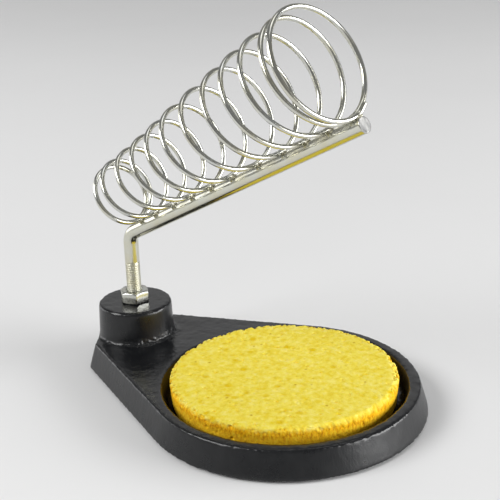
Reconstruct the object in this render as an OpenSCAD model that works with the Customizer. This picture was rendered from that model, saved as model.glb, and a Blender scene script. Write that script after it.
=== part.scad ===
// Soldering iron stand: a cast base with a sponge dish and a threaded boss, and a bent rod
// that carries a conical wire coil. The lock nut clamps the rod against the boss.
// The origin is on the rest plane under the rod's axis, +X points at the dish, +Z is up.

/* [Base casting] */
// Outer radius of the dish at its rim
dish_radius = 42; // [39:0.5:46]
// Distance from the rod's axis to the dish centre
dish_offset = 64; // [58:0.5:72]
// Height of the casting's rim above its underside
rim_height = 8.7; // [7.5:0.1:11]
// Width of the rim around the sponge recess
rim_width = 3.4; // [2.5:0.1:5]
// Thickness of the floor under the sponge
floor_thickness = 3; // [2.5:0.1:4]
// How far the outer walls spread between rim and underside
wall_spread = 2.6; // [1:0.1:4]
// Half width of the tail at its shoulders
shoulder_y = 14.6; // [14:0.1:17]

/* [Boss] */
// Radius of the boss at its top face
boss_radius = 12.4; // [10:0.1:13]
// Height of the boss above the casting's underside
boss_height = 20.3; // [17:0.1:26]
// How much the boss widens from its top to the underside
boss_draft = 0.8; // [0:0.1:1.2]
// Radius of the cast fillet around the foot of the boss
boss_fillet = 1.4; // [0.5:0.1:2]

/* [Sponge] */
// Radius of the round sponge
sponge_radius = 35.4; // [32:0.1:36]
// Thickness of the sponge when damp
sponge_thickness = 8.7; // [6:0.1:14]

/* [Rod] */
// Diameter of the rod and of its thread
rod_diameter = 5; // [4.5:0.1:6]
// Height of the bend's corner above the casting's underside
bend_height = 44.4; // [38:0.2:60]
// Radius of the bend at the middle of the rod
bend_radius = 5; // [4:0.1:8]
// Rise of the long arm above the horizontal
arm_rise = 28.3; // [15:0.5:45]
// Length of the long arm from the bend's corner to its end
arm_length = 105.8; // [105.5:0.1:120]
// Depth of the rod's end below the top of the boss
thread_engagement = 12; // [8:0.5:14]

/* [Coil] */
// Diameter of the coil's wire
wire_diameter = 1.6; // [1.2:0.1:2]
// Number of full turns
turns = 12; // [8:1:12]
// Radius of the first turn, to the middle of the wire
small_radius = 9.7; // [8:0.1:11]
// Radius of the last turn, to the middle of the wire
mouth_radius = 17.3; // [14:0.1:20]
// How far the cone bows: in on its small half, out on its wide half
cone_bow = 0.4; // [0:0.1:0.8]
// Distance along the arm from the bend's corner to the first weld
coil_start = 6.5; // [5:0.1:6.8]
// Advance of the first turn and of the last turn, which lie nearly closed
end_pitch = 1.8; // [1.8:0.1:3]
// Pitch of the turns between them
turn_pitch = 9.25; // [7:0.05:9.3]
// Extra distance along the arm in the one wider gap past the middle turn
wide_gap = 4; // [0:0.1:4.2]
// Lean of the turns back towards the bend
turn_lean = 4.5; // [0:0.5:6]
// Swing of the turns: their near sides lie back towards the bend
turn_swing = 3.5; // [0:0.5:5]
// Angle round the arm from its top to the line of welds, towards the near side
coil_roll = 11; // [0:0.5:15]
// Length of wire that sticks out past the last weld
tail_length = 5; // [2:0.5:6]

/* [Fasteners and feet] */
// Width of the lock nut across its flats
nut_width = 9; // [8:0.5:10]
// Height of the lock nut
nut_height = 4; // [3:0.1:5]
// How far round the lock nut stands when it is tight
nut_turn = 20; // [0:1:60]
// Radial running clearance of the rod in the nut and in the boss
thread_clearance = 0.05; // [0.02:0.01:0.1]
// Radius of a rubber foot
foot_radius = 5; // [4:0.5:7]
// Height of a rubber foot
foot_height = 2; // [1.8:0.1:2.6]
// How far the feet stand out below the casting
foot_proud = 0.8; // [0.5:0.1:1.2]

/* [Hidden] */
$fn = 96;

lap = 0.1;                                  // overlap between unioned solids, past a cut's face
shoulder_x = -3.4;                          // where the tail's shoulders stand
shoulder_round = 1.5;                       // rounding of the shoulders in plan
recess_radius = dish_radius - rim_width;
recess_draft = 1.2;                         // how much the recess narrows down to its floor
boss_chamfer = 0.8;
hole_depth = thread_engagement + 2.5;
foot_spread = 34;                           // distance of the front feet from the dish centre
foot_angle = 50;                            // angle of the front feet from +X
foot_gap = 0.1;                             // glue gap around a foot in its recess
weld_radius = 0.95;
weld_count = turns + 1;
weld_sink = 0.2;                            // how far the welds press the wire into the arm

rim_z = foot_proud + rim_height;
boss_z = foot_proud + boss_height;
floor_z = foot_proud + floor_thickness;
bend_z = foot_proud + bend_height;
rod_radius = rod_diameter / 2;
wire_radius = wire_diameter / 2;
sponge_gap = 0.1;                           // the sponge lies this far above the recess floor
nut_face_inset = 0.1;                       // the nut's end faces stop this far inside its flats
nut_chamfer_angle = 30;                     // slope of the nut's corner chamfers

// Directions along and square to the long arm, and the same pair turned round to the line of welds
arm_dir = [cos(arm_rise), 0, sin(arm_rise)];
arm_up = [-sin(arm_rise), 0, cos(arm_rise)];
near_side = [0, -1, 0];
coil_up = arm_up * cos(coil_roll) + near_side * sin(coil_roll);
coil_side = near_side * cos(coil_roll) - arm_up * sin(coil_roll);

// ---------- base ----------

module plan_hull(top, bottom, grow_top, grow_bottom) {
    hull() {
        translate([dish_offset, 0, bottom])
            cylinder(h = top - bottom, r1 = dish_radius + grow_bottom, r2 = dish_radius + grow_top);
        for (y = [-shoulder_y, shoulder_y])
            translate([shoulder_x, y, bottom])
                cylinder(h = top - bottom, r1 = shoulder_round + grow_bottom,
                         r2 = shoulder_round + grow_top, $fn = 32);
        translate([0, 0, bottom])
            cylinder(h = top - bottom, r1 = boss_radius + grow_bottom, r2 = boss_radius + grow_top);
    }
}

module boss() {
    translate([0, 0, foot_proud])
        cylinder(h = boss_height - boss_chamfer, r1 = boss_radius + boss_draft, r2 = boss_radius);
    translate([0, 0, boss_z - boss_chamfer])
        cylinder(h = boss_chamfer, r1 = boss_radius, r2 = boss_radius - boss_chamfer);
    intersection() {
        translate([0, 0, rim_z - lap])
            cylinder(h = boss_fillet + lap, r1 = boss_radius + boss_draft + boss_fillet / 2, r2 = boss_radius);
        plan_hull(rim_z + boss_fillet, foot_proud, 0, 0);
    }
}

module foot_places() {
    children();
    for (a = [-foot_angle, foot_angle])
        translate([dish_offset + foot_spread * cos(a), foot_spread * sin(a), 0]) children();
}

module base_casting() {
    color("#2b2c2e")
    difference() {
        union() {
            plan_hull(rim_z, foot_proud, 0, wall_spread);
            boss();
        }
        translate([dish_offset, 0, floor_z])
            cylinder(h = rim_height - floor_thickness + lap, r1 = recess_radius - recess_draft, r2 = recess_radius);
        translate([0, 0, boss_z - hole_depth])
            cylinder(h = hole_depth + lap, r = rod_radius + thread_clearance);
        foot_places()
            cylinder(h = foot_height, r = foot_radius + foot_gap);
    }
}

module rubber_feet() {
    color("#1a1a1a")
    foot_places()
        cylinder(h = foot_height, r = foot_radius);
}

module sponge() {
    color("#ecdc5e")
    translate([dish_offset, 0, floor_z + sponge_gap])
        cylinder(h = sponge_thickness, r = sponge_radius);
}

// ---------- holder ----------

bend_angle = 90 - arm_rise;                        // how far the rod turns in its bend
bend_reach = bend_radius * tan(bend_angle / 2);    // from the corner to where the bend begins
bend_lap = 2;                                      // degrees the bend runs into each straight part
bend_thinning = 0.02;                              // the rod draws this much thinner in its bend
rod_bottom = boss_z - thread_engagement;

module holder_rod() {
    color("#d9d8c6") {
        translate([0, 0, rod_bottom])
            cylinder(h = bend_z - bend_reach - rod_bottom, r = rod_radius);
        translate([bend_radius, 0, bend_z - bend_reach])
            rotate([90, 0, 0])
                rotate([0, 0, 180 - bend_angle - bend_lap])
                    rotate_extrude(angle = bend_angle + 2 * bend_lap)
                        translate([bend_radius, 0])
                            circle(r = rod_radius - bend_thinning);
        translate([0, 0, bend_z])
            rotate([0, 90 - arm_rise, 0])
                translate([0, 0, bend_reach])
                    cylinder(h = arm_length - bend_reach, r = rod_radius);
    }
}

first_open = 0.65;      // turn at which the coil opens to its full pitch
opening = 1.1;          // turns that this takes
last_open = 1.45;       // turns before the end at which it closes again
closing = 0.8;
gap_turn = 5.5;         // turn at which the wide gap starts
gap_turns = 2.4;        // turns that share it

// Eased step from 0 to 1, and the distance covered at a speed that eases from 0 to 1 like it
function share(t, from, over) = min(max((t - from) / over, 0), 1);
function eased_step(t, from, over) =
    let (x = share(t, from, over))
    x * x * (3 - 2 * x);
function eased_run(t, from, over) =
    let (x = share(t, from, over))
    x < 1 ? over * (pow(x, 3) - pow(x, 4) / 2) : t - from - over / 2;

// Position of the wire along the arm after t turns
function advance(t) =
    coil_start + end_pitch * t
    + (turn_pitch - end_pitch) * (eased_run(t, first_open, opening) - eased_run(t, turns - last_open, closing))
    + wide_gap * eased_step(t, gap_turn, gap_turns);
function turn_radius(t) =
    small_radius + (mouth_radius - small_radius) * t / turns - cone_bow * sin(360 * t / turns);

// Middle of the wire after t turns: each turn starts and ends on the line of welds
function wire_point(t) =
    let (r = turn_radius(t), up = r * (1 - cos(360 * t)), across = -r * sin(360 * t))
    [0, 0, bend_z]
    + arm_dir * (advance(t) - up * tan(turn_lean) - across * tan(turn_swing))
    + coil_up * (rod_radius + wire_radius - weld_sink + up)
    + coil_side * across;

function unit(v) = v / norm(v);
tail_dir = unit(coil_up * 0.55 + arm_dir * 0.35 - coil_side);
steps_per_turn = 28;
wire_sides = 8;
wire_path = concat(
    [for (i = [0 : steps_per_turn * turns]) wire_point(i / steps_per_turn)],
    [wire_point(turns) + tail_dir * tail_length]);

// Tube around a path, with each ring square to the path
module wire(path, radius) {
    last = len(path) - 1;
    rings = [for (i = [0 : last])
        let (along = unit(path[min(i + 1, last)] - path[max(i - 1, 0)]),
             across = unit(cross(along, arm_dir + [0, 0, 0.01])),
             out = cross(across, along))
        for (k = [0 : wire_sides - 1])
            path[i] + radius * (cos(360 * k / wire_sides) * across + sin(360 * k / wire_sides) * out)];
    skin = [for (i = [0 : last - 1], k = [0 : wire_sides - 1])
        let (a = i * wire_sides + k, b = i * wire_sides + (k + 1) % wire_sides)
        each [[a, b, b + wire_sides], [a, b + wire_sides, a + wire_sides]]];
    first_cap = [for (k = [wire_sides - 1 : -1 : 0]) k];
    last_cap = [for (k = [0 : wire_sides - 1]) last * wire_sides + k];
    polyhedron(points = rings, faces = concat(skin, [first_cap, last_cap]), convexity = 10);
}

module holder_coil() {
    color("#cfd0c8")
    wire(wire_path, wire_radius);
}

module coil_welds() {
    color("#b9b8a4")
    for (k = [0 : weld_count - 1])
        translate([0, 0, bend_z] + arm_dir * advance(k) + coil_up * (rod_radius + weld_sink))
            sphere(r = weld_radius, $fn = 32);
}

module lock_nut() {
    corner_radius = nut_width / sqrt(3);
    face_radius = nut_width / 2 - nut_face_inset;
    middle_radius = face_radius + nut_height / 2 / tan(nut_chamfer_angle);
    color("#dcdccf")
    translate([0, 0, boss_z])
        difference() {
            intersection() {
                rotate([0, 0, nut_turn])
                    cylinder(h = nut_height, r = corner_radius, $fn = 6);
                union() {
                    cylinder(h = nut_height / 2, r1 = face_radius, r2 = middle_radius);
                    translate([0, 0, nut_height / 2])
                        cylinder(h = nut_height / 2, r1 = middle_radius, r2 = face_radius);
                }
            }
            translate([0, 0, -lap])
                cylinder(h = nut_height + 2 * lap, r = rod_radius + thread_clearance);
        }
}

base_casting();
rubber_feet();
sponge();
holder_rod();
lock_nut();
holder_coil();
coil_welds();
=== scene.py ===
"""Soldering iron stand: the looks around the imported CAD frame.

Everything here is worked out in millimetres in the frame's own axes and scaled to metres
when a mesh is made. The origin is on the rest plane under the rod, +X points at the dish.
"""

import math
from random import Random

import bmesh
import bpy
import numpy as np
from mathutils import Matrix, Vector, noise
from mathutils.geometry import delaunay_2d_cdt

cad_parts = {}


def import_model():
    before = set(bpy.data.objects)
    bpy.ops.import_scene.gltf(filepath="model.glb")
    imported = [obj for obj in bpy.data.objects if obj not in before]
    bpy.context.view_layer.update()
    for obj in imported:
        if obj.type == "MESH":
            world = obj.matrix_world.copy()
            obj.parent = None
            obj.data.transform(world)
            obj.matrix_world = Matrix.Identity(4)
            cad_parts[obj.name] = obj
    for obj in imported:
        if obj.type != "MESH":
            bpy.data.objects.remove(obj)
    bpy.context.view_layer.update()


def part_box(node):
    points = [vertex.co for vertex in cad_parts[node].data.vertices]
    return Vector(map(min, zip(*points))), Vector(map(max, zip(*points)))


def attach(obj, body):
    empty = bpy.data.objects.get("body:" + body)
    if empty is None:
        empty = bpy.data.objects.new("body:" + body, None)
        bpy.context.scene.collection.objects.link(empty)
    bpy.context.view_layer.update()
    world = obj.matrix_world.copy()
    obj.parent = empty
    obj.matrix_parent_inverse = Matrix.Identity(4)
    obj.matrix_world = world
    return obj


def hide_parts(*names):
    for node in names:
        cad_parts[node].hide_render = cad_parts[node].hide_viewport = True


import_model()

MM = 0.001
SEED = 7
NEAR_AXIS = 0.01                # radius of the ring that closes a turned profile at its axis
INSET = 0.01                    # how far the rod and wire stay inside their CAD radius


# ---------- places and sizes, from the frame ----------

def node_box(node):
    """Lowest and highest corner of a CAD node, in millimetres."""
    low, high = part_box(node)
    return np.array(low) / MM, np.array(high) / MM


base_low, base_high = node_box("base_casting")
sponge_low, sponge_high = node_box("sponge")
rod_low, rod_high = node_box("holder_rod")
nut_low, nut_high = node_box("lock_nut")
feet_low, feet_high = node_box("rubber_feet")

# Base casting
DISH_X = (sponge_low[0] + sponge_high[0]) / 2
BASE_Z = base_low[2]
BOSS_Z = base_high[2]
WALL_SPREAD = 2.6               # how far the walls spread from the rim down to the underside
DISH_RADIUS = base_high[1] - WALL_SPREAD
DISH_SIDES = 160
RIM_Z = BASE_Z + 8.7
RIM_WIDTH = 3.4
FLOOR_Z = sponge_low[2] - 0.1   # floor of the dish, just below the sponge
RECESS_DRAFT = 1.2              # how much the recess narrows down to its floor
RECESS_ROUND = 2.0              # fillet between the wall of the recess and its floor
SHOULDER = (-3.4, 14.6, 1.5)    # x, y and radius of the tail's shoulders
BOSS_RADIUS = 12.4
BOSS_DRAFT = 0.8                # how much the boss widens down to the underside
BOSS_ROUND = 1.0
CASTING_VOXEL = 0.42
CASTING_SOFTENING = 9

# Feet
FOOT_RADIUS = 5.1
FOOT_SIDES = 48
FRONT_FOOT = (feet_high[0] - 5.0, feet_high[1] - 5.0)
FOOT_CENTRES = [(0.0, 0.0), (FRONT_FOOT[0], FRONT_FOOT[1]), (FRONT_FOOT[0], -FRONT_FOOT[1])]

# Sponge: a little wider than the CAD disc before its edge is torn back, and lying off centre
SPONGE_RADIUS = (sponge_high[1] - sponge_low[1]) / 2 + 0.35
SPONGE_PLACE = np.array([DISH_X - 0.3, 0.0])
SPONGE_EDGE = 1.3
SPONGE_VOXEL = 0.30
TORN_SIDE = np.array([-0.66, 0.75])     # in plan, towards the side that is torn most

# Rod and nut
ROD_RADIUS = (rod_high[1] - rod_low[1]) / 2
ROD_RISE = math.radians(28.3)
ROD_CORNER = np.array([0, 0, BASE_Z + 44.4])
ROD_BEND = 5.0                  # radius of the bend, to the rod's axis
ROD_SIDES = 64
ARM_LENGTH = 105.8
THREAD_PITCH = 0.8
THREAD_DEPTH = 0.42
THREAD_TOP = BOSS_Z + 14.2
THREAD_STATIONS = 12            # stations in one pitch
POST_STATIONS, BEND_STATIONS, ARM_STATIONS = 12, 25, 160
NUT_WIDTH = 9.0
NUT_TURN = math.radians(20)
NUT_SIDES = 192

# Coil
WIRE_RADIUS = 0.8
WIRE_SIDES = 20
WIRE_STATIONS = 96              # stations in one turn
WIRE_TAIL = 5.0                 # length of the free end past the last weld
TAIL_STEPS = 11
WELD_SINK = 0.2                 # how far the welds press the wire into the arm
TURNS = 12
SMALL_RADIUS = 9.7
MOUTH_RADIUS = 17.3
CONE_BOW = 0.4                  # how far the cone's outline sags and swells from straight
COIL_START = 6.5
END_PITCH = 1.8                 # advance in one of the nearly closed end turns
TURN_PITCH = 9.25               # advance in one of the turns between them
OPENS, OPENING = 0.65, 1.1      # turn at which the coil opens, and the turns that this takes
CLOSES, CLOSING = TURNS - 1.45, 0.8
WIDE_GAP = 4.0                  # extra advance in the one wider gap
GAP_START, GAP_END = 5.5, 7.9
TURN_LEAN = math.radians(4.5)
TURN_SWING = math.radians(3.5)
COIL_ROLL = math.radians(11)    # from the top of the arm round to the line of welds

ARM_DIR = np.array([math.cos(ROD_RISE), 0, math.sin(ROD_RISE)])
ARM_UP = np.array([-math.sin(ROD_RISE), 0, math.cos(ROD_RISE)])
NEAR_SIDE = np.array([0.0, -1.0, 0.0])
FAR_SIDE = np.array([0.0, 1.0, 0.0])
COIL_UP = ARM_UP * math.cos(COIL_ROLL) + NEAR_SIDE * math.sin(COIL_ROLL)
COIL_SIDE = NEAR_SIDE * math.cos(COIL_ROLL) - ARM_UP * math.sin(COIL_ROLL)


# ---------- mesh helpers ----------

def make_object(name, points, faces):
    """A smooth-shaded mesh object from points in millimetres."""
    mesh = bpy.data.meshes.new(name)
    mesh.from_pydata((np.asarray(points, float) * MM).tolist(), [], [list(f) for f in faces])
    mesh.validate()
    mesh.update()
    mesh.polygons.foreach_set("use_smooth", [True] * len(mesh.polygons))
    obj = bpy.data.objects.new(name, mesh)
    bpy.context.scene.collection.objects.link(obj)
    return obj


def add_modifier(obj, kind, **settings):
    modifier = obj.modifiers.new(kind.lower(), kind)
    for key, value in settings.items():
        setattr(modifier, key, value)


def apply_modifiers(obj):
    """Bakes an object's modifiers into its mesh."""
    depsgraph = bpy.context.evaluated_depsgraph_get()
    baked = bpy.data.meshes.new_from_object(obj.evaluated_get(depsgraph))
    obj.modifiers.clear()
    obj.data = baked
    baked.polygons.foreach_set("use_smooth", [True] * len(baked.polygons))


def points_of(obj):
    """Points of an object's mesh, in millimetres."""
    co = np.zeros(len(obj.data.vertices) * 3)
    obj.data.vertices.foreach_get("co", co)
    return co.reshape(-1, 3) / MM


def normals_of(obj):
    """Outward direction at each point of an object's mesh."""
    values = np.zeros(len(obj.data.vertices) * 3)
    obj.data.vertex_normals.foreach_get("vector", values)
    return values.reshape(-1, 3)


def set_points(obj, points):
    obj.data.vertices.foreach_set("co", (points * MM).ravel())
    obj.data.update()


def fit_inside(obj, low, high):
    """Presses points that stand outside a box back onto it."""
    set_points(obj, np.clip(points_of(obj), low, high))


def unit(vector):
    return vector / np.linalg.norm(vector)


def smoothstep(low, high, x):
    """Eases from 0 at low to 1 at high."""
    t = np.clip((np.asarray(x, float) - low) / (high - low), 0, 1)
    return t * t * (3 - 2 * t)


def circle_angles(sides):
    return np.linspace(0, 2 * math.pi, sides, endpoint=False)


def circle_points(centre, radius, sides):
    """Points in plan round a circle."""
    a = circle_angles(sides)
    return np.c_[centre[0] + radius * np.cos(a), centre[1] + radius * np.sin(a)]


def at_height(flat, z):
    """Points in plan, lifted to a height."""
    return np.c_[flat, np.full(len(flat), z)]


def ring_points(middle, radius, across, beside, sides):
    """Ring of points round a middle, in the plane of two directions."""
    a = circle_angles(sides)[:, None]
    return middle + np.reshape(radius, (-1, 1)) * (np.cos(a) * across + np.sin(a) * beside)


def tube_faces(rings, sides, caps=True):
    """Faces of a tube made of rings of points, closed round each ring."""
    faces = []
    for i in range(rings - 1):
        for k in range(sides):
            a, b = i * sides + k, i * sides + (k + 1) % sides
            faces.append((a, b, b + sides, a + sides))
    if caps:
        faces.append(tuple(range(sides - 1, -1, -1)))
        faces.append(tuple(range((rings - 1) * sides, rings * sides)))
    return faces


def lathe(profile, sides, centre=(0, 0)):
    """Points and faces of a closed solid turned about a vertical axis; profile is (r, z) upwards."""
    rings = [at_height(circle_points(centre, r, sides), z) for r, z in profile]
    return np.vstack(rings), tube_faces(len(rings), sides)


def rounded(centre_r, centre_z, radius, start, end, steps=6):
    """Arc of (r, z) points about a centre, from one angle to another in degrees."""
    angles = np.radians(np.linspace(start, end, steps))
    return [(centre_r + radius * math.cos(a), centre_z + radius * math.sin(a)) for a in angles]


def join_shells(shells):
    """Several (points, faces) shells as one."""
    points, faces, count = [], [], 0
    for shell_points, shell_faces in shells:
        points.append(np.asarray(shell_points, float))
        faces += [tuple(i + count for i in f) for f in shell_faces]
        count += len(shell_points)
    return np.vstack(points), faces


def fractal(points, scale, octaves, offset):
    """Fractal noise of about -1 to 1 at each point; scale is the size of a lump in millimetres."""
    shift = Vector((offset, offset * 1.7, -offset))
    return np.array([noise.fractal(Vector(p) / scale + shift, 0.6, 2.0, octaves) for p in points])


def cell_distance(points, scale, offset):
    """Distance to the nearest cell point, in cells; scale is the size of a cell in millimetres."""
    shift = Vector((offset, -offset, offset * 0.6))
    return np.array([noise.voronoi(Vector(p) / scale + shift)[0][0] for p in points])


# ---------- base casting ----------

def plan_outline(grow, spacing=0.8):
    """Outline of the base in plan, grown outwards: round dish, two shoulders and a round tail."""
    x, y, r = SHOULDER
    circles = [(DISH_X, 0.0, DISH_RADIUS), (x, y, r), (0.0, 0.0, BOSS_RADIUS), (x, -y, r)]
    turns = []
    for (ax, ay, ar), (bx, by, br) in zip(circles, circles[1:] + circles[:1]):
        along = math.atan2(by - ay, bx - ax)
        turns.append(along - math.acos((ar - br) / math.hypot(bx - ax, by - ay)))
    points = []
    for i, (cx, cy, cr) in enumerate(circles):
        first, last = turns[i - 1], turns[i]
        while last < first:
            last += 2 * math.pi
        count = max(4, int((last - first) * (cr + WALL_SPREAD) / spacing))
        for a in np.linspace(first, last, count):
            points.append((cx + (cr + grow) * math.cos(a), cy + (cr + grow) * math.sin(a)))
    return np.array(points)


def holed_cap(outline, holes, z, upwards):
    """Flat face inside an outline, less round holes given as (centre, radius, sides)."""
    loops = [outline] + [circle_points(*hole) for hole in holes]
    points, edges = [], []
    for loop in loops:
        first = len(points)
        points += [Vector(p) for p in loop]
        edges += [(first + i, first + (i + 1) % len(loop)) for i in range(len(loop))]
    result = delaunay_2d_cdt(points, edges, [], 0, 1e-6)
    flat, triangles = result[0], result[2]
    kept = []
    for triangle in triangles:
        middle = sum((flat[i] for i in triangle), Vector((0, 0))) / 3
        if all((middle - Vector(centre)).length > radius * 0.999 for centre, radius, _ in holes):
            kept.append(triangle if upwards else triangle[::-1])
    return np.array([(p[0], p[1], z) for p in flat]), kept


def weld_loops(obj, distance=0.002):
    """Merges points that lie on top of each other and turns all faces outwards."""
    work = bmesh.new()
    work.from_mesh(obj.data)
    bmesh.ops.remove_doubles(work, verts=work.verts, dist=distance * MM)
    bmesh.ops.recalc_face_normals(work, faces=work.faces)
    work.to_mesh(obj.data)
    work.free()


def recess_shell(centre, radius):
    """Wall and floor of the recess that the sponge lies in."""
    floor_round = (radius - RECESS_DRAFT - RECESS_ROUND, FLOOR_Z + RECESS_ROUND, RECESS_ROUND)
    wall = [(radius, RIM_Z)] + rounded(*floor_round, 0, -90)
    rings = [at_height(circle_points(centre, r, DISH_SIDES), z) for r, z in wall]
    last = (len(rings) - 1) * DISH_SIDES
    bottom = tuple(range(last, last + DISH_SIDES))
    return np.vstack(rings), tube_faces(len(rings), DISH_SIDES, caps=False) + [bottom]


def foot_recess_shell(centre):
    """Wall and roof of the recess that a foot sits in."""
    ring = circle_points(centre, FOOT_RADIUS, FOOT_SIDES)
    walls = [f[::-1] for f in tube_faces(2, FOOT_SIDES, caps=False)]
    roof = tuple(range(2 * FOOT_SIDES - 1, FOOT_SIDES - 1, -1))
    return np.vstack([at_height(ring, BASE_Z), at_height(ring, feet_high[2])]), walls + [roof]


def plate_shell():
    """The dish and tail as one closed shell, with the sponge recess and the foot recesses."""
    dish, recess = (DISH_X, 0.0), DISH_RADIUS - RIM_WIDTH
    bottom, top = plan_outline(WALL_SPREAD), plan_outline(0)
    side = np.vstack([at_height(bottom, BASE_Z), at_height(top, RIM_Z)])
    foot_holes = [(centre, FOOT_RADIUS, FOOT_SIDES) for centre in FOOT_CENTRES]
    shells = [
        (side, tube_faces(2, len(top), caps=False)),
        holed_cap(top, [(dish, recess, DISH_SIDES)], RIM_Z, True),
        recess_shell(dish, recess),
        holed_cap(bottom, foot_holes, BASE_Z, False)]
    return join_shells(shells + [foot_recess_shell(centre) for centre in FOOT_CENTRES])


def boss_shell():
    """The boss, from inside the plate up to its rounded top edge."""
    foot_r = BOSS_RADIUS + BOSS_DRAFT * 0.95
    profile = [(NEAR_AXIS, BASE_Z + 1), (foot_r, BASE_Z + 1)]
    profile += rounded(BOSS_RADIUS - BOSS_ROUND, BOSS_Z - BOSS_ROUND, BOSS_ROUND, 0, 90)
    profile += [(NEAR_AXIS, BOSS_Z)]
    return lathe(profile, 120)


def bead_shell():
    """The lumpy fillet that the casting has around the foot of the boss, thinning out behind it."""
    steps, sides = 160, 12
    ring_r = BOSS_RADIUS + BOSS_DRAFT * 0.55
    rings = []
    for i in range(steps):
        a = 2 * math.pi * i / steps - math.pi
        fade = float(1 - smoothstep(1.9, 2.5, abs(a)))
        lump = 1 + 0.18 * noise.noise(Vector((math.cos(a) * 4, math.sin(a) * 4, 3.1)))
        thick = 0.25 + 0.55 * fade * lump
        for k in range(sides):
            b = 2 * math.pi * k / sides
            r = ring_r + thick * math.cos(b)
            rings.append((r * math.cos(a), r * math.sin(a), RIM_Z - 0.1 + thick * math.sin(b)))
    faces = []
    for i in range(steps):
        for k in range(sides):
            a0, a1 = i * sides, ((i + 1) % steps) * sides
            k1 = (k + 1) % sides
            faces.append((a0 + k, a1 + k, a1 + k1, a0 + k1))
    return np.array(rings), faces


def cast_skin(obj):
    """Gives the casting its uneven skin: broad waves, lumps on its tops and edges, and drips."""
    points, out = points_of(obj), normals_of(obj)
    on_top = smoothstep(0.35, 0.85, out[:, 2])
    on_edge = smoothstep(0.34, 0.50, out[:, 2]) * smoothstep(0.97, 0.85, out[:, 2])
    waves = fractal(points, 9.0, 2, 5.0) * (0.03 + 0.05 * on_top)
    lumps = fractal(points, 2.4, 2, 11.0) * (0.012 + 0.038 * on_top)
    lumps += fractal(points, 1.5, 2, 13.0) * 0.17 * on_edge
    # Drips of metal round the foot of the boss, on the side that faces the dish
    from_boss = np.abs(np.linalg.norm(points[:, :2], axis=1) - BOSS_RADIUS - 0.9)
    from_rim = np.abs(points[:, 2] - RIM_Z - 0.4)
    bearing = np.degrees(np.arctan2(points[:, 1], points[:, 0]))
    drips = smoothstep(2.6, 0.9, from_boss) * smoothstep(2.4, 1.0, from_rim)
    drips = drips * smoothstep(52, 34, np.abs(bearing + 2))
    height = waves + lumps + drips * 0.55 * np.abs(fractal(points, 1.9, 2, 17.0))
    set_points(obj, points + out * height[:, None])


def base_casting():
    """The casting as one skin: shells joined by voxels, softened, roughened and then bored."""
    plate = make_object("base_plate_shell", *plate_shell())
    weld_loops(plate)
    plate_faces = [tuple(p.vertices) for p in plate.data.polygons]
    shells = join_shells([(points_of(plate), plate_faces), boss_shell(), bead_shell()])
    bpy.data.objects.remove(plate)
    base = make_object("cast_base", *shells)
    add_modifier(base, "REMESH", mode="VOXEL", voxel_size=CASTING_VOXEL * MM)
    add_modifier(base, "SMOOTH", factor=0.5, iterations=CASTING_SOFTENING)
    apply_modifiers(base)
    cast_skin(base)
    fit_inside(base, base_low, base_high)
    bore_r = ROD_RADIUS + 0.12
    bore_profile = [(bore_r, rod_low[2] - 0.6), (bore_r, BOSS_Z + 3)]
    bore = make_object("bore_cutter", *lathe(bore_profile, 64))
    add_modifier(base, "BOOLEAN", operation="DIFFERENCE", solver="EXACT", object=bore)
    apply_modifiers(base)
    bpy.data.objects.remove(bore)
    return base


# ---------- sponge ----------

def torn_away(points):
    """How much of the sponge is torn off at each point, as a vector outwards and upwards."""
    r, top = SPONGE_RADIUS, sponge_high[2]
    radial = points[:, :2] - SPONGE_PLACE
    distance = np.linalg.norm(radial, axis=1)
    outwards = radial / np.maximum(distance, 1)[:, None]
    ragged = smoothstep(-0.7, -0.1, outwards @ TORN_SIDE)
    on_edge = smoothstep(r - 1.9, r - 0.3, distance)
    near_top = smoothstep(top - 2.6, top - 0.5, points[:, 2]) * (0.40 + 0.90 * ragged)
    torn = fractal(points * np.array([1, 1, 0.6]), 1.3, 2, 41.0)
    torn += 0.35 * fractal(points, 6.0, 2, 47.0)
    notch = on_edge * (0.05 + near_top * np.clip(0.05 + 1.6 * torn, 0, 0.8))
    tufts = fractal(points * np.array([1, 1, 0.2]), 1.4, 2, 53.0)
    chips = smoothstep(r - 1.5 - 1.1 * ragged, r - 0.2 - 0.8 * ragged, distance) * near_top
    chips = chips * np.clip(0.05 + (1.6 + 0.8 * ragged) * tufts, 0, 0.6 + 0.4 * ragged)
    return np.c_[outwards * notch[:, None], chips]


def sponge():
    """Cut cellulose sponge: a disc with ragged torn edges and a few open pores."""
    r, top, bottom = SPONGE_RADIUS, sponge_high[2], sponge_low[2]
    edge, low_edge = SPONGE_EDGE, SPONGE_EDGE * 0.6
    profile = [(NEAR_AXIS, bottom), (r - edge, bottom)]
    profile += rounded(r - edge, bottom + low_edge, low_edge, -90, 0)[1:]
    profile += rounded(r - edge, top - edge, edge, 0, 90)
    profile += [(NEAR_AXIS, top)]
    pad = make_object("cleaning_sponge", *lathe(profile, 180, SPONGE_PLACE))
    add_modifier(pad, "REMESH", mode="VOXEL", voxel_size=SPONGE_VOXEL * MM)
    apply_modifiers(pad)
    points, out = points_of(pad), normals_of(pad)
    depth = 0.65 * (1 - smoothstep(0.05, 0.20, cell_distance(points, 4.2, 3.0)))
    depth += 0.22 * (1 - smoothstep(0.10, 0.34, cell_distance(points, 1.7, 9.0)))
    depth += 0.10 * np.abs(fractal(points, 1.1, 2, 31.0))
    depth += 0.10 * np.abs(fractal(points, 4.0, 2, 35.0))
    points = points - out * depth[:, None] - torn_away(points)
    points[:, 2] = points[:, 2].clip(bottom, top)
    set_points(pad, points)
    add_modifier(pad, "SMOOTH", factor=0.45, iterations=1)
    apply_modifiers(pad)
    return pad


# ---------- rod and nut ----------

def rod_ring(middle, tilt, radius):
    """Ring of points round the rod, tilted from level towards the arm's cross-section."""
    across = np.array([math.cos(tilt), 0, -math.sin(tilt)])
    return ring_points(middle, radius, across, FAR_SIDE, ROD_SIDES)


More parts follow.
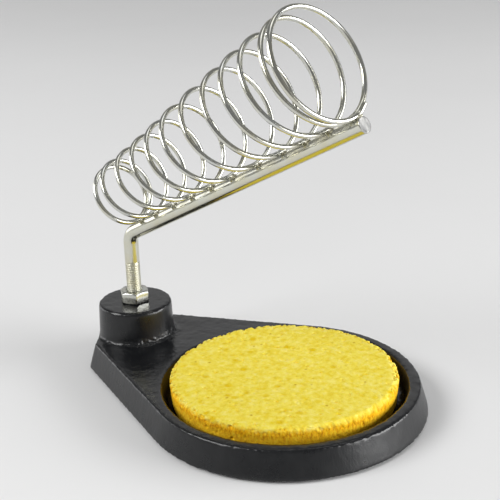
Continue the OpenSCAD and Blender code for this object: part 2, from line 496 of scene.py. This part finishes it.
def threaded_radius(z):
    """Radius round the rod at a height on its thread, which runs out above and tapers below."""
    turn_share = z / THREAD_PITCH - circle_angles(ROD_SIDES) / (2 * math.pi)
    crest = smoothstep(0.12, 0.88, np.abs((turn_share % 1.0 - 0.5) * 2))
    fade = 1 - smoothstep(THREAD_TOP - 0.6, THREAD_TOP + 0.6, z)
    taper = (1 - smoothstep(rod_low[2], rod_low[2] + 0.8, z)) * 0.45
    return ROD_RADIUS - INSET - THREAD_DEPTH * crest * fade - taper


def sheared_end(tilt):
    """Rings over the arm's end: a small bevel, then two faces with a step between them."""
    bevelled = [(0.985, 0.20), (0.955, 0.08)]
    level = [(share, 0.0) for share in (0.92, 0.8, 0.6, 0.4, 0.2, 0.05)]
    rings = []
    for share, bevel in bevelled + level:
        beside = share * ROD_RADIUS * np.sin(circle_angles(ROD_SIDES))
        step = 0.11 * (1 - np.tanh((beside + 0.35) / 0.22)) * (1 - smoothstep(0.85, 0.99, share))
        end = ROD_CORNER + ARM_DIR * ARM_LENGTH - ARM_DIR * bevel - step[:, None] * ARM_DIR
        rings.append(rod_ring(end, tilt, share * ROD_RADIUS))
    return rings


def holder_rod():
    """Bent rod: threaded below, plain above, with a sheared flat end."""
    plain_r = ROD_RADIUS - INSET
    bend_angle = math.pi / 2 - ROD_RISE
    reach = ROD_BEND * math.tan(bend_angle / 2)
    bend_start = ROD_CORNER[2] - reach
    bend_centre = np.array([ROD_BEND, 0, bend_start])
    rings = []
    for z in np.arange(rod_low[2], THREAD_TOP + 1.0, THREAD_PITCH / THREAD_STATIONS):
        rings.append(rod_ring(np.array([0, 0, z]), 0.0, threaded_radius(z)))
    for z in np.linspace(THREAD_TOP + 1.2, bend_start, POST_STATIONS):
        rings.append(rod_ring(np.array([0, 0, z]), 0.0, plain_r))
    for a in np.linspace(0, bend_angle, BEND_STATIONS)[1:]:
        spot = bend_centre + ROD_BEND * np.array([-math.cos(a), 0, math.sin(a)])
        rings.append(rod_ring(spot, a, plain_r))
    for s in np.linspace(reach, ARM_LENGTH, ARM_STATIONS)[1:]:
        rings.append(rod_ring(ROD_CORNER + ARM_DIR * s, bend_angle, plain_r))
    rings[-1] = rings[-1] - ARM_DIR * 0.22      # makes room for the end's bevel
    rings += sheared_end(bend_angle)
    return make_object("bent_rod", np.vstack(rings), tube_faces(len(rings), ROD_SIDES))


def hex_radius(angle, width, corner):
    """Distance from the axis to a hexagon's edge, with its corners eased."""
    a = (angle % (math.pi / 3)) - math.pi / 6
    flat = width / 2 / math.cos(a)
    return min(flat, width / math.sqrt(3) - corner)


def lock_nut():
    """Hexagonal nut: chamfered faces, eased edges and a countersunk bore."""
    angles = circle_angles(NUT_SIDES)
    height = nut_high[2] - nut_low[2]
    face_r = NUT_WIDTH / 2 * 0.97
    bore = ROD_RADIUS + 0.06
    edge = np.array([hex_radius(a - NUT_TURN, NUT_WIDTH, 0.10) for a in angles])
    drop = (edge - face_r).clip(0) * math.tan(math.radians(30))
    # One end of the nut from its outer edge in to its bore, as radius and depth below the face
    end = [
        (edge, drop + 0.22),
        (edge - 0.05, drop + 0.07),
        (edge - 0.20, np.maximum(drop - 0.05, 0.0)),
        (np.minimum(edge - 0.3, face_r), 0.0),
        (bore + 0.45, 0.0),
        (bore + 0.38, 0.05),
        (bore, 0.42)]
    loops = end[::-1] + [(radius, height - depth) for radius, depth in end]
    rings = []
    for radius, z in loops:
        heights = nut_low[2] + np.broadcast_to(z, NUT_SIDES)
        rings.append(np.c_[radius * np.cos(angles), radius * np.sin(angles), heights])
    faces = tube_faces(len(rings), NUT_SIDES, caps=False)
    last = (len(rings) - 1) * NUT_SIDES
    for k in range(NUT_SIDES):
        k1 = (k + 1) % NUT_SIDES
        faces.append((last + k, last + k1, k1, k))
    nut = make_object("lock_nut_hex", np.vstack(rings), faces)
    fit_inside(nut, nut_low, nut_high)
    return nut


# ---------- coil ----------

def eased_run(t, start, over):
    """Distance covered at a speed that eases from 0 to 1."""
    x = min(max((t - start) / over, 0.0), 1.0)
    return over * (x ** 3 - x ** 4 / 2) if x < 1 else t - start - over / 2


def advance(t):
    """How far along the arm the wire has come after t turns."""
    open_run = eased_run(t, OPENS, OPENING) - eased_run(t, CLOSES, CLOSING)
    gap = WIDE_GAP * float(smoothstep(GAP_START, GAP_END, t))
    return COIL_START + END_PITCH * t + (TURN_PITCH - END_PITCH) * open_run + gap


def turn_radius(t):
    """Radius of the coil after t turns, to the middle of the wire."""
    cone = SMALL_RADIUS + (MOUTH_RADIUS - SMALL_RADIUS) * t / TURNS
    return cone - CONE_BOW * math.sin(2 * math.pi * t / TURNS)


def wire_point(t):
    """Middle of the wire after t turns; each turn starts and ends on the line of welds."""
    r = turn_radius(t)
    up = r * (1 - math.cos(2 * math.pi * t))
    across = -r * math.sin(2 * math.pi * t)
    along = advance(t) - up * math.tan(TURN_LEAN) - across * math.tan(TURN_SWING)
    height = ROD_RADIUS + WIRE_RADIUS - WELD_SINK + up
    return ROD_CORNER + ARM_DIR * along + COIL_UP * height + COIL_SIDE * across


def wire_path():
    """Middle of the wire from the coil's small end to the tip of its free tail."""
    path = [wire_point(i / WIRE_STATIONS) for i in range(TURNS * WIRE_STATIONS + 1)]
    leave = unit(path[-1] - path[-2])
    tail = unit(COIL_UP * 0.55 + ARM_DIR * 0.35 - COIL_SIDE)
    for s in np.linspace(0, WIRE_TAIL, TAIL_STEPS + 1)[1:]:
        turn = float(smoothstep(0, 3.0, s))
        path.append(path[-1] + unit(leave * (1 - turn) + tail * turn) * WIRE_TAIL / TAIL_STEPS)
    return np.array(path)


def holder_coil():
    """Conical coil of drawn wire with blunt ends."""
    r = WIRE_RADIUS - INSET
    blunt = 0.10
    path = wire_path()
    tangents = np.gradient(path, axis=0)
    tangents /= np.linalg.norm(tangents, axis=1)[:, None]
    out = unit(np.cross(tangents[0], ARM_DIR))
    spokes = []
    for tangent in tangents:
        out = unit(out - tangent * np.dot(out, tangent))
        spokes.append((out, np.cross(tangent, out)))
    rings = [ring_points(spot, r, *pair, WIRE_SIDES) for spot, pair in zip(path, spokes)]
    start, finish = path[0] - tangents[0] * blunt, path[-1] + tangents[-1] * blunt
    first_cap = [ring_points(start, k * r, *spokes[0], WIRE_SIDES) for k in (0.4, 0.85)]
    last_cap = [ring_points(finish, k * r, *spokes[-1], WIRE_SIDES) for k in (0.85, 0.4)]
    rings = first_cap + rings + last_cap
    return make_object("wire_coil", np.vstack(rings), tube_faces(len(rings), WIRE_SIDES))


def coil_welds():
    """A small uneven nugget of weld metal where each turn sits on the arm."""
    random = Random(SEED)
    rows, sides = 10, 20
    axes = np.array([ARM_DIR, COIL_SIDE, COIL_UP])
    shells = []
    for k in range(TURNS + 1):
        spot = ROD_CORNER + ARM_DIR * advance(k) + COIL_UP * (ROD_RADIUS + 0.12)
        along = 1.55 + random.uniform(-0.2, 0.3)
        wide = 1.15 + random.uniform(-0.1, 0.15)
        high = 0.62 + random.uniform(-0.08, 0.1)
        size = np.array([along, wide, high])
        points = []
        for polar in math.pi * (0.04 + 0.92 * np.arange(rows + 1) / rows):
            for a in circle_angles(sides):
                ring_r = math.sin(polar)
                v = np.array([math.cos(polar), ring_r * math.cos(a), ring_r * math.sin(a)])
                lump = 1 + 0.12 * noise.noise(Vector(v * 1.8) + Vector((k * 3.3, 0, 0)))
                points.append(spot + lump * (v * size) @ axes)
        shells.append((np.array(points), tube_faces(rows + 1, sides)))
    return make_object("spot_welds", *join_shells(shells))


# ---------- feet ----------

def rubber_feet():
    """Three moulded rubber feet with a softly rounded lower edge and a shallow hollow."""
    r, low, high = FOOT_RADIUS - 0.12, feet_low[2], feet_high[2]
    edge, hollow = 0.5, 0.25
    profile = [(NEAR_AXIS, low + hollow), (r * 0.45, low + hollow), (r * 0.6, low)]
    profile += rounded(r - edge, low + edge, edge, -90, 0)
    profile += [(r, high), (NEAR_AXIS, high)]
    feet = [lathe(profile, 64, centre) for centre in FOOT_CENTRES]
    return make_object("rubber_feet_set", *join_shells(feet))


# ---------- materials ----------

class Shader:
    """A principled material and short calls for wiring nodes into it."""

    def __init__(self, name):
        self.material = bpy.data.materials.new(name)
        self.material.use_nodes = True
        self.tree = self.material.node_tree
        self.surface = self.tree.nodes["Principled BSDF"]
        self.place = self.add("ShaderNodeTexCoord").outputs["Object"]

    def add(self, kind, **settings):
        node = self.tree.nodes.new(kind)
        for key, value in settings.items():
            setattr(node, key, value)
        return node

    def feed(self, socket, value):
        """Gives an input a fixed value or a link from another node."""
        if isinstance(value, bpy.types.NodeSocket):
            self.tree.links.new(value, socket)
        else:
            socket.default_value = value

    def noise(self, size, detail=4.0, roughness=0.55, place=None):
        """Noise whose lumps are about size millimetres across."""
        node = self.add("ShaderNodeTexNoise")
        self.feed(node.inputs["Vector"], place or self.place)
        self.feed(node.inputs["Scale"], 1 / (size * MM))
        self.feed(node.inputs["Detail"], detail)
        self.feed(node.inputs["Roughness"], roughness)
        return node.outputs["Fac"]

    def cells(self, size):
        """Distance to the nearest of points about size millimetres apart, in cells."""
        node = self.add("ShaderNodeTexVoronoi")
        self.feed(node.inputs["Vector"], self.place)
        self.feed(node.inputs["Scale"], 1 / (size * MM))
        return node.outputs["Distance"]

    def stretch(self, scale):
        """Place of each point with its axes scaled, for drawn-out noise."""
        node = self.add("ShaderNodeMapping")
        self.feed(node.inputs["Vector"], self.place)
        self.feed(node.inputs["Scale"], scale)
        return node.outputs["Vector"]

    def ramp(self, value, stops):
        """Colour ramp; stops are (position, colour) pairs."""
        node = self.add("ShaderNodeValToRGB")
        elements = node.color_ramp.elements
        while len(elements) < len(stops):
            elements.new(0.5)
        for element, (position, colour) in zip(elements, stops):
            element.position = position
            element.color = (*colour, 1)
        self.feed(node.inputs["Fac"], value)
        return node.outputs["Color"]

    def scale(self, value, low, high, from_low=0.0, from_high=1.0):
        """Maps a value from one range to another and stops at the ends."""
        node = self.add("ShaderNodeMapRange")
        self.feed(node.inputs["Value"], value)
        self.feed(node.inputs["From Min"], from_low)
        self.feed(node.inputs["From Max"], from_high)
        self.feed(node.inputs["To Min"], low)
        self.feed(node.inputs["To Max"], high)
        return node.outputs["Result"]

    def math(self, operation, a, b):
        node = self.add("ShaderNodeMath", operation=operation)
        self.feed(node.inputs[0], a)
        self.feed(node.inputs[1], b)
        return node.outputs[0]

    def mix(self, share, a, b):
        """Blends colour a into colour b."""
        node = self.add("ShaderNodeMix", data_type="RGBA")
        self.feed(node.inputs[0], share)
        for socket, value in ((node.inputs[6], a), (node.inputs[7], b)):
            self.feed(socket, value if isinstance(value, bpy.types.NodeSocket) else (*value, 1))
        return node.outputs[2]

    def along(self, direction=(0, 0, 1)):
        """Distance of each point from the origin along a direction."""
        node = self.add("ShaderNodeVectorMath", operation="DOT_PRODUCT")
        self.feed(node.inputs[0], self.place)
        self.feed(node.inputs[1], direction)
        return node.outputs["Value"]

    def facing_up(self):
        """Upward part of the surface's direction: 1 on level ground, 0 on a wall."""
        node = self.add("ShaderNodeSeparateXYZ")
        self.feed(node.inputs[0], self.add("ShaderNodeNewGeometry").outputs["Normal"])
        return node.outputs["Z"]

    def edges(self):
        """High on convex edges and low in hollows."""
        return self.add("ShaderNodeNewGeometry").outputs["Pointiness"]

    def bump(self, height, depth, strength=1.0, below=None):
        """Bump of depth millimetres, on top of another bump if one is given."""
        node = self.add("ShaderNodeBump")
        self.feed(node.inputs["Height"], height)
        self.feed(node.inputs["Distance"], depth * MM)
        self.feed(node.inputs["Strength"], strength)
        if below is not None:
            self.feed(node.inputs["Normal"], below)
        return node.outputs["Normal"]

    def set(self, **values):
        """Sets inputs of the surface; an underscore in a name stands for a space."""
        for key, value in values.items():
            self.feed(self.surface.inputs[key.replace("_", " ")], value)


def black_cast_paint():
    """Glossy black paint over a sand-cast skin: lumps and grain on top, draw marks on the walls."""
    s = Shader("black_cast_paint")
    grain = s.noise(0.55, 5.0, 0.6)
    broad = s.noise(7.0, 3.0)
    upward = s.scale(s.facing_up(), 0.0, 1.0, 0.45, 0.85)
    streaks = s.noise(0.9, 3.0, 0.6, s.stretch((1, 1, 0.10)))
    # Convex edges turn a paler grey: partly paint wear, partly a painted highlight along the edges
    wear_and_glint = s.scale(s.edges(), 0.0, 1.0, 0.54, 0.64)
    wear_and_glint = s.math("MULTIPLY", wear_and_glint, s.scale(s.noise(1.6, 3.0), 0.0, 1.0, 0.45, 0.7))
    paint = s.ramp(broad, [(0.3, (0.0060, 0.0065, 0.0075)), (0.7, (0.0100, 0.0105, 0.0115))])
    colour = s.mix(s.math("MULTIPLY", wear_and_glint, 0.5), paint, (0.06, 0.06, 0.063))
    roughness = s.math("ADD", s.scale(broad, 0.15, 0.24, 0.3, 0.7), s.scale(grain, -0.05, 0.08))
    roughness = s.math("ADD", roughness, s.scale(upward, 0.10, 0.0))
    s.set(Base_Color=colour, Roughness=roughness, IOR=1.45)
    lumps = s.bump(s.noise(2.2, 3.0, 0.55), 0.10, s.scale(upward, 0.25, 1.0))
    drawn = s.bump(streaks, 0.05, s.scale(upward, 0.9, 0.0), lumps)
    s.set(Normal=s.bump(grain, 0.020, s.scale(upward, 0.5, 1.0), drawn))
    return s.material


def cellulose_top(s):
    """Colour of the sponge's dry top: pale and mottled, with painted shade in small pores and
    lighter frays.
    """
    colour = s.ramp(s.noise(2.2, 5.0, 0.68), [
        (0.34, (0.73, 0.55, 0.031)),
        (0.50, (0.79, 0.65, 0.077)),
        (0.68, (0.83, 0.72, 0.175))])
    ragged = s.scale(s.noise(0.8, 3.0, 0.6), -0.11, 0.11)
    spots = s.scale(s.math("ADD", s.cells(6.2), ragged), 1.0, 0.0, 0.10, 0.25)
    colour = s.mix(s.math("MULTIPLY", spots, 0.95), colour, (0.67, 0.46, 0.003))
    faint = s.scale(s.math("ADD", s.cells(3.8), ragged), 1.0, 0.0, 0.04, 0.26)
    colour = s.mix(s.math("MULTIPLY", faint, 0.65), colour, (0.71, 0.52, 0.008))
    frayed = s.scale(s.edges(), 0.0, 0.7, 0.52, 0.62)
    colour = s.mix(frayed, colour, (0.90, 0.78, 0.170))
    # Painted shade: small dark dots where pores would hold shadow
    tiny = s.scale(s.cells(3.4), 1.0, 0.0, 0.07, 0.18)
    some = s.scale(s.noise(9.0, 1.0), 0.0, 1.0, 0.45, 0.60)
    painted_pore_shade = s.math("MULTIPLY", s.math("MULTIPLY", tiny, some), 0.85)
    return s.mix(painted_pore_shade, colour, (0.46, 0.27, 0.008))


def cellulose_side(s, height):
    """Colour of the sponge's damp side: orange fibres, a little paler at the foot."""
    top_z = sponge_high[2]
    fibres = s.noise(0.7, 4.0, 0.65, s.stretch((1, 1, 0.45)))
    colour = s.ramp(fibres, [
        (0.36, (0.60, 0.24, 0.003)),
        (0.50, (0.90, 0.46, 0.006)),
        (0.64, (0.98, 0.64, 0.028))])
    lowest = s.scale(height, 1.0, 0.0, (top_z - 4.2) * MM, (top_z - 2.8) * MM)
    return s.mix(s.math("MULTIPLY", lowest, 0.4), colour, (0.93, 0.58, 0.022))


def cellulose():
    """Yellow cellulose sponge: dry on top, damp at its side, with painted bounce light that deepens
    the orange in its torn hollows.
    """
    s = Shader("cellulose_sponge")
    top_z = sponge_high[2]
    wander = s.scale(s.noise(2.2, 4.0, 0.65), -1.2 * MM, 1.2 * MM)
    height = s.math("ADD", s.along(), wander)
    damp = s.scale(height, 1.0, 0.0, (top_z - 2.0) * MM, (top_z - 0.5) * MM)
    colour = s.mix(s.math("MULTIPLY", damp, 0.95), cellulose_top(s), cellulose_side(s, height))
    # Painted bounce light: hollows in the torn edge are mixed to a deeper orange, as if lit by light
    # bounced inside them
    torn = s.scale(s.edges(), 0.85, 0.0, 0.41, 0.485)
    colour = s.mix(torn, colour, (0.98, 0.62, 0.008))
    s.set(Base_Color=colour, Roughness=0.95, Specular_IOR_Level=0.1)
    s.set(Subsurface_Weight=0.12, Subsurface_Scale=1.2 * MM)
    s.set(Subsurface_Radius=(1.0, 0.7, 0.2))
    relief = s.bump(s.math("MINIMUM", s.cells(0.9), 0.4), 0.16)
    s.set(Normal=s.bump(s.noise(0.4, 3.0, 0.7), 0.08, 1.0, relief))
    return s.material


def zinc_plate(name, streaks, tint, gloss, depth, dull_below=None, bare_past=None):
    """Bright zinc plate: fine drawing marks and light smudges.

    It is duller below a height, and bare steel past a distance along the arm, in millimetres.
    """
    s = Shader(name)
    marks = s.noise(1.0, 4.0, 0.6, s.stretch(streaks))
    smudge = s.noise(6.0, 3.0)
    yellowed = (tint[0] * 0.97, tint[1] * 0.93, tint[2] * 0.80)
    colour = s.mix(s.scale(smudge, 0.0, 1.0, 0.35, 0.7), tint, yellowed)
    roughness = s.math("ADD", s.scale(marks, *gloss), s.scale(smudge, -0.04, 0.06))
    if dull_below:
        dull = s.scale(s.along(), 0.46, 0.0, (dull_below - 0.4) * MM, (dull_below + 0.4) * MM)
        roughness = s.math("MAXIMUM", roughness, dull)
    if bare_past:
        bare = s.scale(s.along(ARM_DIR), 0.0, 1.0, (bare_past - 0.05) * MM, bare_past * MM)
        steel = s.ramp(marks, [(0.35, (0.20, 0.20, 0.20)), (0.65, (0.36, 0.36, 0.35))])
        colour = s.mix(bare, colour, steel)
        roughness = s.math("MAXIMUM", roughness, s.math("MULTIPLY", bare, 0.6))
    s.set(Base_Color=colour, Metallic=1.0, Roughness=roughness, Normal=s.bump(marks, depth))
    return s.material


def weld_metal():
    """Rough, slightly burnt weld metal."""
    s = Shader("weld_metal")
    grain = s.noise(0.6, 4.0, 0.6)
    colour = s.ramp(grain, [(0.35, (0.34, 0.32, 0.24)), (0.7, (0.72, 0.70, 0.58))])
    s.set(Base_Color=colour, Metallic=1.0, Roughness=s.scale(grain, 0.3, 0.55))
    s.set(Normal=s.bump(grain, 0.08))
    return s.material


def black_rubber():
    """Matt moulded rubber."""
    s = Shader("black_rubber")
    grain = s.noise(0.4, 3.0)
    colour = s.ramp(grain, [(0.3, (0.012, 0.012, 0.012)), (0.7, (0.03, 0.03, 0.03))])
    s.set(Base_Color=colour, Roughness=s.scale(grain, 0.6, 0.85), Normal=s.bump(grain, 0.05))
    return s.material


def pale_floor():
    s = Shader("pale_floor")
    colour = s.ramp(s.noise(400.0), [(0.3, (0.74, 0.74, 0.74)), (0.7, (0.78, 0.78, 0.78))])
    s.set(Base_Color=colour, Roughness=0.75)
    return s.material


# ---------- putting it together ----------

def fit(piece, material, body, node):
    """Finishes a piece: its material, the body it rides on, the CAD node it stands for."""
    piece.data.materials.clear()
    piece.data.materials.append(material)
    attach(piece, body)
    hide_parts(node)


# The sheared end of the arm is bare steel; the plate stops just short of it
plate_end = ROD_CORNER @ ARM_DIR + ARM_LENGTH - 0.28
rod_zinc = zinc_plate(
    "rod_zinc", (1, 1, 0.25), (0.64, 0.64, 0.57), (0.14, 0.26), 0.008, THREAD_TOP, plate_end)
coil_zinc = zinc_plate("coil_zinc", (1, 1, 1), (0.65, 0.66, 0.63), (0.12, 0.20), 0.005)
nut_zinc = zinc_plate("nut_zinc", (0.3, 0.3, 1), (0.58, 0.59, 0.56), (0.20, 0.32), 0.012)

fit(base_casting(), black_cast_paint(), "base", "base_casting")
fit(rubber_feet(), black_rubber(), "base", "rubber_feet")
fit(sponge(), cellulose(), "sponge", "sponge")
fit(holder_rod(), rod_zinc, "holder", "holder_rod")
fit(holder_coil(), coil_zinc, "holder", "holder_coil")
fit(coil_welds(), weld_metal(), "holder", "coil_welds")
fit(lock_nut(), nut_zinc, "lock_nut", "lock_nut")


# ---------- stage ----------

# Soft boxes as (name, place, aim, width, height, power), in metres and watts
SOFTBOXES = [
    ("left", (-0.60, -1.08, 1.02), (0.05, 0, 0.03), 1.1, 0.7, 20),
    ("low_left", (-1.40, -0.25, 0.26), (0.0, 0, 0.03), 0.8, 0.5, 3),
    ("right", (1.18, 0.56, 0.31), (0.05, 0, 0.04), 1.2, 0.58, 23),
    ("top", (0.10, 0.35, 1.45), (0.05, 0, 0.03), 0.8, 0.6, 2),
    ("back", (-1.25, 1.60, 0.85), (0.05, 0, 0.03), 2.4, 1.1, 3.4)]
WORLD_STRENGTH = 0.22


def floor():
    size = 4.0
    mesh = bpy.data.meshes.new("floor")
    corners = [(-size, -size, 0), (size, -size, 0), (size, size, 0), (-size, size, 0)]
    mesh.from_pydata(corners, [], [(0, 1, 2, 3)])
    obj = bpy.data.objects.new("floor", mesh)
    bpy.context.scene.collection.objects.link(obj)
    mesh.materials.append(pale_floor())


def softbox(name, place, aim, width, height, power):
    light = bpy.data.lights.new(name, "AREA")
    light.shape = "RECTANGLE"
    light.size, light.size_y, light.energy = width, height, power
    obj = bpy.data.objects.new(name, light)
    bpy.context.scene.collection.objects.link(obj)
    obj.location = place
    obj.rotation_euler = (Vector(aim) - Vector(place)).to_track_quat("-Z", "Y").to_euler()


def world(strength):
    scene_world = bpy.data.worlds.new("studio")
    scene_world.use_nodes = True
    background = scene_world.node_tree.nodes["Background"]
    background.inputs["Color"].default_value = (1, 1, 1, 1)
    background.inputs["Strength"].default_value = strength
    bpy.context.scene.world = scene_world


def camera():
    """A long lens from the front right, a little above the stand."""
    azimuth, elevation, roll = math.radians(39.32), math.radians(20.64), math.radians(-1.8)
    aim = Vector((0.0516, 0.0, 0.0503))
    distance = 0.3391
    level = math.cos(elevation)
    back = Vector((math.sin(azimuth) * level, -math.cos(azimuth) * level, math.sin(elevation)))
    right = Vector((0, 0, 1)).cross(back).normalized()
    up = back.cross(right)
    rolled_right = right * math.cos(roll) + up * math.sin(roll)
    rolled_up = up * math.cos(roll) - right * math.sin(roll)
    data = bpy.data.cameras.new("camera")
    data.lens = 79.77
    data.clip_start = 0.01
    obj = bpy.data.objects.new("camera", data)
    bpy.context.scene.collection.objects.link(obj)
    turn = Matrix((rolled_right, rolled_up, back)).transposed().to_4x4()
    obj.matrix_world = Matrix.Translation(aim + back * distance) @ turn
    bpy.context.scene.camera = obj


floor()
for box in SOFTBOXES:
    softbox(*box)
world(WORLD_STRENGTH)
bpy.context.scene.view_settings.view_transform = "Standard"
camera()
